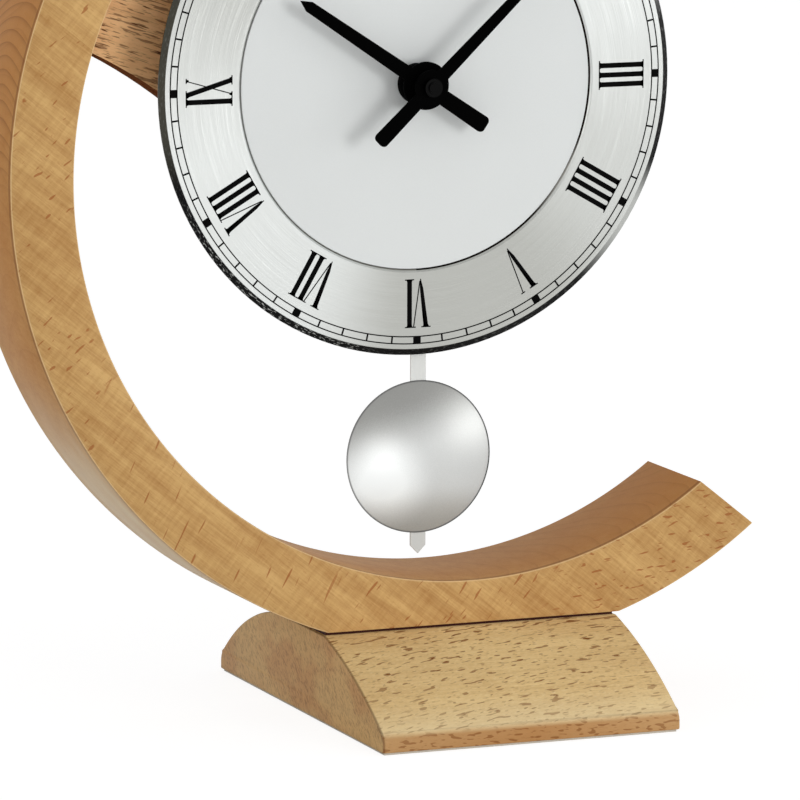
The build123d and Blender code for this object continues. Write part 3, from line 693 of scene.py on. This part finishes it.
veneer = two_tone(
    "dark_veneer", paint(44, 14, 10), paint(62, 26, 18), (12.0, 0.6, 0.6),
    Roughness=0.7, Specular_IOR_Level=0.2,
)
dress(veneer, "foot_spacer")
felt = two_tone(
    "felt", paint(196, 190, 176), paint(222, 217, 204), (0.5, 0.5, 0.5), detail=4.0, raised=0.3,
    Roughness=1.0, Specular_IOR_Level=0.1, Sheen_Weight=0.4,
)
dress(felt, "foot_felt")
dowel, grain, colour = beech(
    "beech_dowel", 0.0, beech_light, beech_dark, beech_end, beech_late,
)
dress(oil(dowel, colour, 0.0, beech_fleck, grain), "foot_dowels", "arm_dowels")


# The arm and the board behind the dial are one flat piece of beech, with the grain along the
# arm. It is doweled into the inside of the C and carries the movement.
arm_fall = 18.5
# The arm's tones are lighter than the beech of the C: painted light that makes up for the shade of
# the dial and the C
arm_pale_with_painted_light = paint(244, 201, 148)
arm_deep_with_painted_light = paint(228, 180, 128)
arm_end = paint(200, 146, 96)
arm_pore = paint(90, 52, 32)
arm_sawn_and_shaded = paint(106, 58, 32)
wood, grain, colour = beech(
    "beech_arm", arm_fall, arm_pale_with_painted_light, arm_deep_with_painted_light, arm_end, arm_pore, bow_at=30.0, seed=23.0,
    ring_gap=6.0, ring_share=0.12, crossing=0.2, specular=0.0,
)
along, depth, across = grain
lines = flecks(wood, grain, (6.0, 4.0, 0.62), 0.585)
lines = lines + flecks(wood, (along, depth, across + 20.0), (4.0, 4.0, 0.5), 0.62) * 0.6
# The arm's edges are darker, partly from the sawn wood and partly painted shade on the underside
sawn_and_shade = wood.fade(facing(wood, (0, 1, 0)), 0.4, 0.8)
colour = wood.blend(colour, arm_sawn_and_shaded, sawn_and_shade * 0.9)
dress(oil(wood, colour, lines, arm_pore, grain, 0.62), "arm_board")


# The dial is an aluminium plate with a thin matt disc in the middle and a raised ring that
# carries the hours. The ring is turned: its face is brushed round and round, with painted
# highlights, and its two bevels are polished, with their dark look painted as reflection.
chapter_low, chapter_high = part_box("chapter_ring")
dial_centre = (chapter_low + chapter_high) / 2
dial_radius = (chapter_high.x - chapter_low.x) / 2
chapter_front = chapter_low.y
chapter_inner = 50.5 * mm
inner_bevel = 0.9 * mm
rim_width = 1.7 * mm
groove_width = 0.12
groove_tilt = 1.05

plate = Finish("aluminium_plate", Metallic=1.0, Roughness=0.4)
rolled = plate.noise(plate.places(centre=dial_centre), (9.0, 1.0, 0.4))
plate.shade(Base_Color=plate.blend(paint(196, 198, 200), paint(206, 208, 210), rolled))
dress(plate.material, "dial_plate")

matt = Finish("matt_disc", Specular_IOR_Level=0.15)
here = matt.places(centre=dial_centre)
grit = matt.noise(here, (0.35, 0.35, 0.35), 3.0)
cloud = matt.noise(here, (26.0, 26.0, 26.0))
matt.shade(
    Base_Color=matt.blend(paint(222, 225, 224), paint(230, 233, 232), grit * 0.6 + cloud * 0.4),
    Roughness=0.7 + (grit - 0.5) * 0.12,
)
matt.relief(grit, 0.01)
dress(matt.material, "dial_centre_disc")

brushed = Finish("brushed_ring", Specular_IOR_Level=0.4)
x, y, z = brushed.places(centre=dial_centre)
radius = (x * x + z * z) ** 0.5
turn = brushed.node("ShaderNodeMath", {0: x, 1: z}, operation="ARCTAN2")
grooves = brushed.noise((radius, turn * 1.4, 0.0), (groove_width, 1.0, 1.0))
broad = brushed.noise((radius, turn * 2.2, 7.0), (1.1, 1.0, 1.0), 3.0)
bevel_end = (chapter_inner + inner_bevel / 2) / mm
on_bevel = brushed.fade(radius, bevel_end - 0.1, bevel_end + 0.02)
rim_start = (dial_radius - rim_width) / mm
on_rim = brushed.ramp(radius, rim_start - 0.05, rim_start + 0.08)
# Painted highlights on two opposite sides stand in for the sheen of turned metal; angles run
# clockwise from twelve, in degrees
clock_angle = turn * (180 / math.pi)
left_painted_highlight = brushed.window(clock_angle, (-177.0, -150.0), (-5.0, 5.0))
left_painted_highlight = left_painted_highlight * brushed.ramp(clock_angle, -112.0, -48.0, 1.0, 0.1)
right_painted_highlight = brushed.window(clock_angle, (20.0, 60.0), (118.0, 150.0))
right_painted_highlight = right_painted_highlight * brushed.ramp(clock_angle, 70.0, 112.0, 1.0, 0.5)
painted_sheen_and_tone = (left_painted_highlight + right_painted_highlight) * 0.84 + (broad - 0.5) * 0.24
silver = brushed.blend(paint(180, 181, 176), paint(224, 227, 225), painted_sheen_and_tone)
# A painted reflection of a dark studio lies on the polished rim, with sparks at seven, a lamp at
# four and olive at nine
sparkling = brushed.window(clock_angle, (-172.0, -160.0), (-122.0, -112.0))
spark = brushed.ramp(brushed.noise((radius, turn * 55.0, 0.0), (0.35, 1.0, 1.0), 3.0), 0.54, 0.66)
spark = spark * (0.08 + sparkling * 0.5)
painted_lamp_reflection = brushed.window(clock_angle, (108.0, 120.0), (124.0, 140.0))
shine = brushed.ramp(brushed.noise((turn * 1.3, 3.0, 0.0)), 0.56, 0.64)
olive = brushed.window(clock_angle, (-112.0, -98.0), (-60.0, -40.0))
painted_rim_reflection = brushed.blend(paint(8, 8, 8), paint(62, 61, 53), olive)
painted_rim_reflection = brushed.blend(painted_rim_reflection, paint(206, 208, 204), spark + painted_lamp_reflection * 0.75 + shine * 0.08)
# The inner bevel is painted dark on the right as a painted reflection, except where the lamp is
# seen
painted_dark_bevel_side = brushed.ramp(clock_angle, 50.0, 66.0) * (1.0 - painted_lamp_reflection)
bevel = brushed.blend(paint(150, 148, 142), paint(30, 24, 20), painted_dark_bevel_side)
colour = brushed.blend(silver, bevel, on_bevel)
brushed.shade(
    Base_Color=brushed.blend(colour, painted_rim_reflection, on_rim),
    Metallic=1.0 - on_rim * 0.2,
    Roughness=0.32 - on_rim * 0.05,
)
# Each groove tilts the face towards the middle of the dial or away from it
tilt = (grooves - 0.5) * (1.0 - on_rim) * (1.0 - on_bevel) * groove_tilt / radius
tilted = brushed.node("ShaderNodeVectorMath", {
    0: brushed.node("ShaderNodeNewGeometry", out="Normal"),
    1: brushed.at(x * tilt, 0.0, z * tilt),
}, operation="ADD")
brushed.shade(Normal=brushed.node("ShaderNodeVectorMath", {0: tilted}, operation="NORMALIZE"))
dress(brushed.material, "chapter_ring")


# The hours and the minute track are printed in black on the ring. Each letter is made of
# thick and thin strokes with a hairline at its head and foot, and stands with its foot
# towards the middle of the dial.
print_depth = 0.04 * mm
print_sink = 0.2 * print_depth
letter_foot = 53.2
letter_head = 66.5
thick = 1.38
thin = 0.30
vee_point = 0.24
flare_reach = 0.75
flare_stem_share = 0.86
flare_hair_share = 0.72
letter_widths = {"I": 2.6, "V": 4.4, "X": 5.0}
numerals = ["XII", "I", "II", "III", "IIII", "V", "VI", "VII", "VIII", "IX", "X", "XI"]
track_inner = 68.93
track_outer = 70.87
track_line = 0.33
track_sides = 360
tick_width = 0.48
block_width = 2.2


def stroke(foot_at, head_at, low, high, width, head_width=None):
    """One flat stroke of a letter in millimetres: a plane whose top edge is moved across."""
    bpy.ops.mesh.primitive_plane_add(size=1, location=(foot_at * mm, (low + high) / 2 * mm, 0))
    piece = bpy.context.object
    piece.scale = (width * mm, (high - low) * mm, 1)
    bpy.ops.object.transform_apply(location=True, scale=True)
    bpy.ops.object.mode_set(mode="EDIT")
    pick(piece, "VERT", lambda v: near(v.co.y, high * mm))
    bpy.ops.transform.translate(value=((head_at - foot_at) * mm, 0, 0))
    if head_width:
        share = head_width / width
        head = (head_at * mm, high * mm, 0)
        bpy.ops.transform.resize(value=(share, 1, 1), center_override=head)
    bpy.ops.object.mode_set(mode="OBJECT")
    return piece


def serif(at, level, width, stem=0.0, inwards=1):
    """A hairline at the head or foot of a stroke, with a short flare where the stem is thick."""
    line = stroke(at, at, level - thin / 2, level + thin / 2, width)
    if not stem:
        return line
    reach = level - inwards * flare_reach
    widths = [flare_stem_share * stem, flare_hair_share * width]
    if inwards < 0:
        widths.reverse()
    return join([line, stroke(at, at, min(level, reach), max(level, reach), *widths)])


low, high = letter_foot + thin / 2, letter_head - thin / 2
letter_i = join([
    stroke(0, 0, low, high, thick),
    serif(0, low, letter_widths["I"] + 0.1, thick, -1),
    serif(0, high, letter_widths["I"] + 0.1, thick),
])
letter_v = join([
    stroke(0.3, -1.3, low - thin / 2, high, vee_point, thick),
    stroke(0.3, -0.02, low, low + 2.6, vee_point, 1.0),
    stroke(-0.02, -1.3, low + 2.6, high, 1.0, thick),
    stroke(0.5, 2.3, low + 0.4, high, thin),
    serif(-1.3, high, 2.7, thick),
    serif(2.3, high, 1.3),
])
letter_x = join([
    stroke(1.85, -1.9, low, high, thick),
    stroke(-1.9, 1.95, low, high, thin),
    serif(-1.9, high, 2.5, thick),
    serif(1.95, high, 1.4, 0.5),
    serif(-1.9, low, 1.4, 0.5, -1),
    serif(1.85, low, 2.5, thick, -1),
])
letters = {"I": letter_i, "V": letter_v, "X": letter_x}


def set_on_dial(template, clock_degrees, along):
    """A copy of a flat shape on the ring, moved along by millimetres and turned to its hour."""
    copied = template.copy()
    copied.data = template.data.copy()
    bpy.context.scene.collection.objects.link(copied)
    face = Vector((dial_centre.x, chapter_front + print_sink, dial_centre.z))
    copied.data.transform(
        Matrix.Translation(face)
        @ Matrix.Rotation(math.radians(clock_degrees), 4, "Y")
        @ Matrix.Rotation(math.pi / 2, 4, "X")
        @ Matrix.Translation((along * mm, 0, 0))
    )
    return copied


def printed(pieces, name):
    """Join flat shapes, turn them all to the front, and give them the depth of the ink."""
    piece = join(pieces)
    bpy.ops.object.mode_set(mode="EDIT")
    pick(piece, "FACE", lambda f: f.normal.y > 0)
    bpy.ops.mesh.flip_normals()
    bpy.ops.object.mode_set(mode="OBJECT")
    apply_modifier(piece, "SOLIDIFY", thickness=print_depth + print_sink, offset=1)
    piece.data.materials.append(ink.material)
    finish_piece(piece, name, "stand", "black_lacquer")


ink = Finish("ink", Specular_IOR_Level=0.02)
spread = ink.noise(ink.places(), (0.6, 1.0, 0.6), 3.0)
ink.shade(
    Base_Color=ink.blend(paint(3, 3, 3), paint(14, 14, 14), spread),
    Roughness=0.55 + spread * 0.2,
)

copies = []
for hour, numeral in enumerate(numerals):
    start = -sum(letter_widths[letter] for letter in numeral) / 2
    for letter in numeral:
        width = letter_widths[letter]
        copies.append(set_on_dial(letters[letter], 30 * hour, start + width / 2))
        start += width
printed(copies, "hour_numerals")

tick = stroke(0, 0, track_inner, track_outer, tick_width)
block = stroke(0, 0, track_inner - track_line / 2, track_outer + track_line / 2, block_width)
copies = [set_on_dial(tick, 6 * minute, 0) for minute in range(60) if minute % 5]
copies += [set_on_dial(block, 30 * hour, 0) for hour in range(12)]
for middle in (track_inner, track_outer):
    inside = (middle - track_line / 2) * mm
    bpy.ops.mesh.primitive_circle_add(vertices=track_sides, radius=inside)
    line = bpy.context.object
    share = 1 + track_line * mm / inside
    bpy.ops.object.mode_set(mode="EDIT")
    bpy.ops.mesh.select_all(action="SELECT")
    bpy.ops.mesh.extrude_edges_move()
    bpy.ops.transform.resize(value=(share, share, 1), center_override=(0, 0, 0))
    bpy.ops.mesh.select_all(action="SELECT")
    bpy.ops.mesh.normals_make_consistent(inside=False)
    bpy.ops.object.mode_set(mode="OBJECT")
    copies.append(set_on_dial(line, 0, 0))
    bpy.data.objects.remove(line)
printed(copies, "minute_track")
for template in (letter_i, letter_v, letter_x, tick, block):
    bpy.data.objects.remove(template)


# A round black nut on a brass tube holds the dial and the movement together, with a rubber
# washer behind the dial. The hands are stamped from sheet and lacquered matt black.
lacquer = Finish("black_lacquer", Specular_IOR_Level=0.01)
spray = lacquer.noise(lacquer.places(), (0.3, 0.3, 0.3), 3.0)
lacquer.shade(
    Base_Color=lacquer.blend(paint(1, 1, 1), paint(4, 4, 4), spray),
    Roughness=0.5 + spray * 0.2,
)
lacquer.relief(spray, 0.01)
dress(lacquer.material, "dial_nut", "hour_hand", "minute_hand")

dark_steel = Finish("dark_steel", Metallic=1.0, Roughness=0.35)
x, y, z = dark_steel.places(centre=dial_centre)
from_shaft = (x * x + z * z) ** 0.5
turned = dark_steel.noise((from_shaft, y, 0.0), (groove_width, groove_width, 1.0))
dark_steel.shade(Base_Color=dark_steel.blend(paint(6, 6, 6), paint(26, 26, 26), turned))
dress(dark_steel.material, "hand_nut", "minute_arbor")

brass = two_tone(
    "brass", paint(206, 176, 104), paint(222, 194, 122), (1.0, 0.15, 1.0),
    Metallic=1.0, Roughness=0.3,
)
dress(brass, "centre_tube")
rubber = two_tone(
    "rubber", paint(34, 34, 34), paint(48, 48, 48), (2.0, 2.0, 2.0),
    Roughness=0.8, Specular_IOR_Level=0.2,
)
dress(rubber, "dial_washer")


# The pendulum is a flat strip, lacquered silver, that hangs from a pin on the movement. Its
# bob is a thin pressed dome with a turned edge, satin finished, clipped to the strip.
bob_low, bob_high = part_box("bob_front")
bob_centre = (bob_low + bob_high) / 2
bob_radius = (bob_high.x - bob_low.x) / 2
bob_rise = bob_high.y - bob_low.y
bob_edge = 0.5 * mm
bob_lip = 0.2 * mm
bob_sheet = 0.6 * mm
dome_steps = 26
bob_sides = 128


def lathe(profile, centre, steps):
    """Spin an outline of (radius, y) points once round the line through a centre."""
    places = [Vector((centre.x + radius, y, centre.z)) for radius, y in profile]
    piece = single_point(places[0])
    for last, place in zip(places, places[1:]):
        bpy.ops.mesh.extrude_region_move(TRANSFORM_OT_translate={"value": place - last})
    bpy.ops.mesh.select_all(action="SELECT")
    bpy.ops.mesh.spin(steps=steps, angle=2 * math.pi, center=centre, axis=(0, 1, 0))
    bpy.ops.mesh.select_all(action="SELECT")
    bpy.ops.mesh.remove_doubles(threshold=0.001 * mm)
    bpy.ops.mesh.normals_make_consistent(inside=False)
    bpy.ops.object.mode_set(mode="OBJECT")
    smooth(piece)
    return piece


dome_radius = (bob_radius ** 2 + bob_rise ** 2) / (2 * bob_rise)
dome_turn = math.asin((bob_radius - bob_edge) / dome_radius)
turns = [dome_turn * step / dome_steps for step in range(dome_steps + 1)]
outside = [
    (dome_radius * math.sin(turn), bob_low.y + dome_radius * (1 - math.cos(turn)))
    for turn in turns
]
rim = [
    (bob_radius - 0.1 * bob_edge, outside[-1][1] + 0.5 * bob_edge),
    (bob_radius, bob_high.y - bob_lip),
    (bob_radius, bob_high.y),
]
inner_share = 1 - bob_sheet / bob_radius
inside = [(radius * inner_share, y + bob_sheet) for radius, y in reversed(outside)]
bob = lathe(outside + rim + [(inside[0][0], bob_high.y)] + inside, bob_centre, bob_sides)

satin = Finish("satin_bob", Specular_IOR_Level=0.2)
here = satin.places(centre=bob_centre)
x, y, z = here
fine = satin.noise(here, (0.25, 0.25, 0.25), 4.0)
edge_at = bob_radius / mm
edge_dark = satin.ramp((x * x + z * z) ** 0.5, edge_at - 0.55, edge_at - 0.25)
# The satin face has painted sheen: painted highlights low on the left and on the right, darker at
# top and bottom
left_off = ((x + 11.5) * (x + 11.5) + (z + 6.5) * (z + 6.5)) ** 0.5
right_off = ((x - 16.0) * (x - 16.0) + (z - 5.0) * (z - 5.0)) ** 0.5
painted_sheen = satin.ramp(left_off, 1.0, 16.0, 0.62, 0.0) - satin.ramp(right_off, 2.0, 17.0, 0.14, 0.0)
upper = satin.ramp(z - x * 0.3, 2.0, 18.0, 0.52, 0.0) * satin.ramp(z, -20.0, -7.0, 0.3, 1.0)
painted_sheen = painted_sheen + upper + (fine - 0.5) * 0.25
colour = satin.blend(paint(150, 150, 147), paint(240, 242, 241), painted_sheen)
satin.shade(
    Base_Color=satin.blend(colour, paint(96, 96, 96), edge_dark * 0.7),
    Metallic=1.0 - satin.fade(z, -18.0, -6.0) * 0.85,
    Roughness=0.42 + (fine - 0.5) * 0.1,
)
satin.relief(fine, 0.006)
bob.data.materials.append(satin.material)
finish_piece(bob, "bob_front_dome", "pendulum", "bob_silver", "bob_front")
dress(satin.material, "bob_back")

strip = Finish("silver_strip", Metallic=0.3, Specular_IOR_Level=0.3)
here = strip.places()
strip_grain = strip.noise(here, (0.3, 1.0, 2.0))
below_bob = strip.fade(here[2], bob_centre.z / mm - 20.0, bob_centre.z / mm)
colour = strip.blend(paint(214, 215, 212), paint(226, 227, 224), strip_grain)
strip.shade(
    Base_Color=strip.blend(colour, paint(198, 198, 195), below_bob * 0.8),
    Roughness=0.45 + strip_grain * 0.1,
)
dress(strip.material, "pendulum_rod")


# Zinc-plated steel: the clip on the bob, the magnet, the hanger pin, contacts and screws.
zinc = two_tone(
    "zinc", paint(176, 178, 182), paint(200, 202, 205), (1.5, 1.5, 1.5),
    Metallic=1.0, Roughness=0.35,
)
dress(
    zinc, "bob_clip", "drive_magnet", "hanger_pin", "battery_contacts",
    "movement_screws", "foot_screws", "motor_core",
)


# The movement sits in the opening of the board: a black plastic case with a fine grain, a
# cover at the back with the battery in its bay, and a fluted knob that sets the hands.
plastics = {
    "black_plastic": {
        "tones": (paint(28, 28, 30), paint(42, 42, 44)), "roughness": 0.55, "grain_size": 0.6,
        "names": ("movement_case", "movement_cover", "setting_knob"),
    },
    "white_plastic": {
        "tones": (paint(224, 224, 216), paint(236, 236, 228)), "roughness": 0.4,
        "grain_size": 0.6,
        "names": ("train_plate", "hour_wheel", "reduction_wheel", "setting_shaft"),
    },
    "green_board": {
        "tones": (paint(22, 84, 46), paint(34, 104, 60)), "roughness": 0.35, "grain_size": 2.0,
        "names": ("circuit_board",),
    },
}
for name, look in plastics.items():
    moulded = two_tone(
        name, *look["tones"], [look["grain_size"]] * 3, detail=3.0, raised=0.03,
        Roughness=look["roughness"], Specular_IOR_Level=0.4,
    )
    dress(moulded, *look["names"])

wire_width = 0.22
winding = Finish("copper_wire", Metallic=0.9, Roughness=0.35)
x, y, z = winding.places()
between = winding.ramp(abs((y / wire_width) % 1.0 - 0.5), 0.1, 0.5)
winding.shade(Base_Color=winding.blend(paint(196, 112, 64), paint(112, 56, 30), between))
winding.relief(1.0 - between, 0.05)
dress(winding.material, "motor_coil", "drive_coil")

battery_low, battery_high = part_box("battery")
sleeve_end = 0.68
cap_end = 0.965
sleeve = Finish("battery_sleeve", Specular_IOR_Level=0.5)
here = sleeve.places()
share = (here[0] - battery_low.x / mm) / ((battery_high.x - battery_low.x) / mm)
on_cap = sleeve.ramp(share, sleeve_end, sleeve_end + 0.01)
on_pole = sleeve.ramp(share, cap_end, cap_end + 0.005)
colour = sleeve.blend(paint(58, 62, 68), paint(176, 120, 52), on_cap)
sleeve.shade(
    Base_Color=sleeve.blend(colour, paint(196, 198, 200), on_pole),
    Metallic=on_pole * 0.6 + 0.4,
    Roughness=0.32 + sleeve.noise(here, (3.0, 3.0, 3.0)) * 0.08,
)
dress(sleeve.material, "battery")
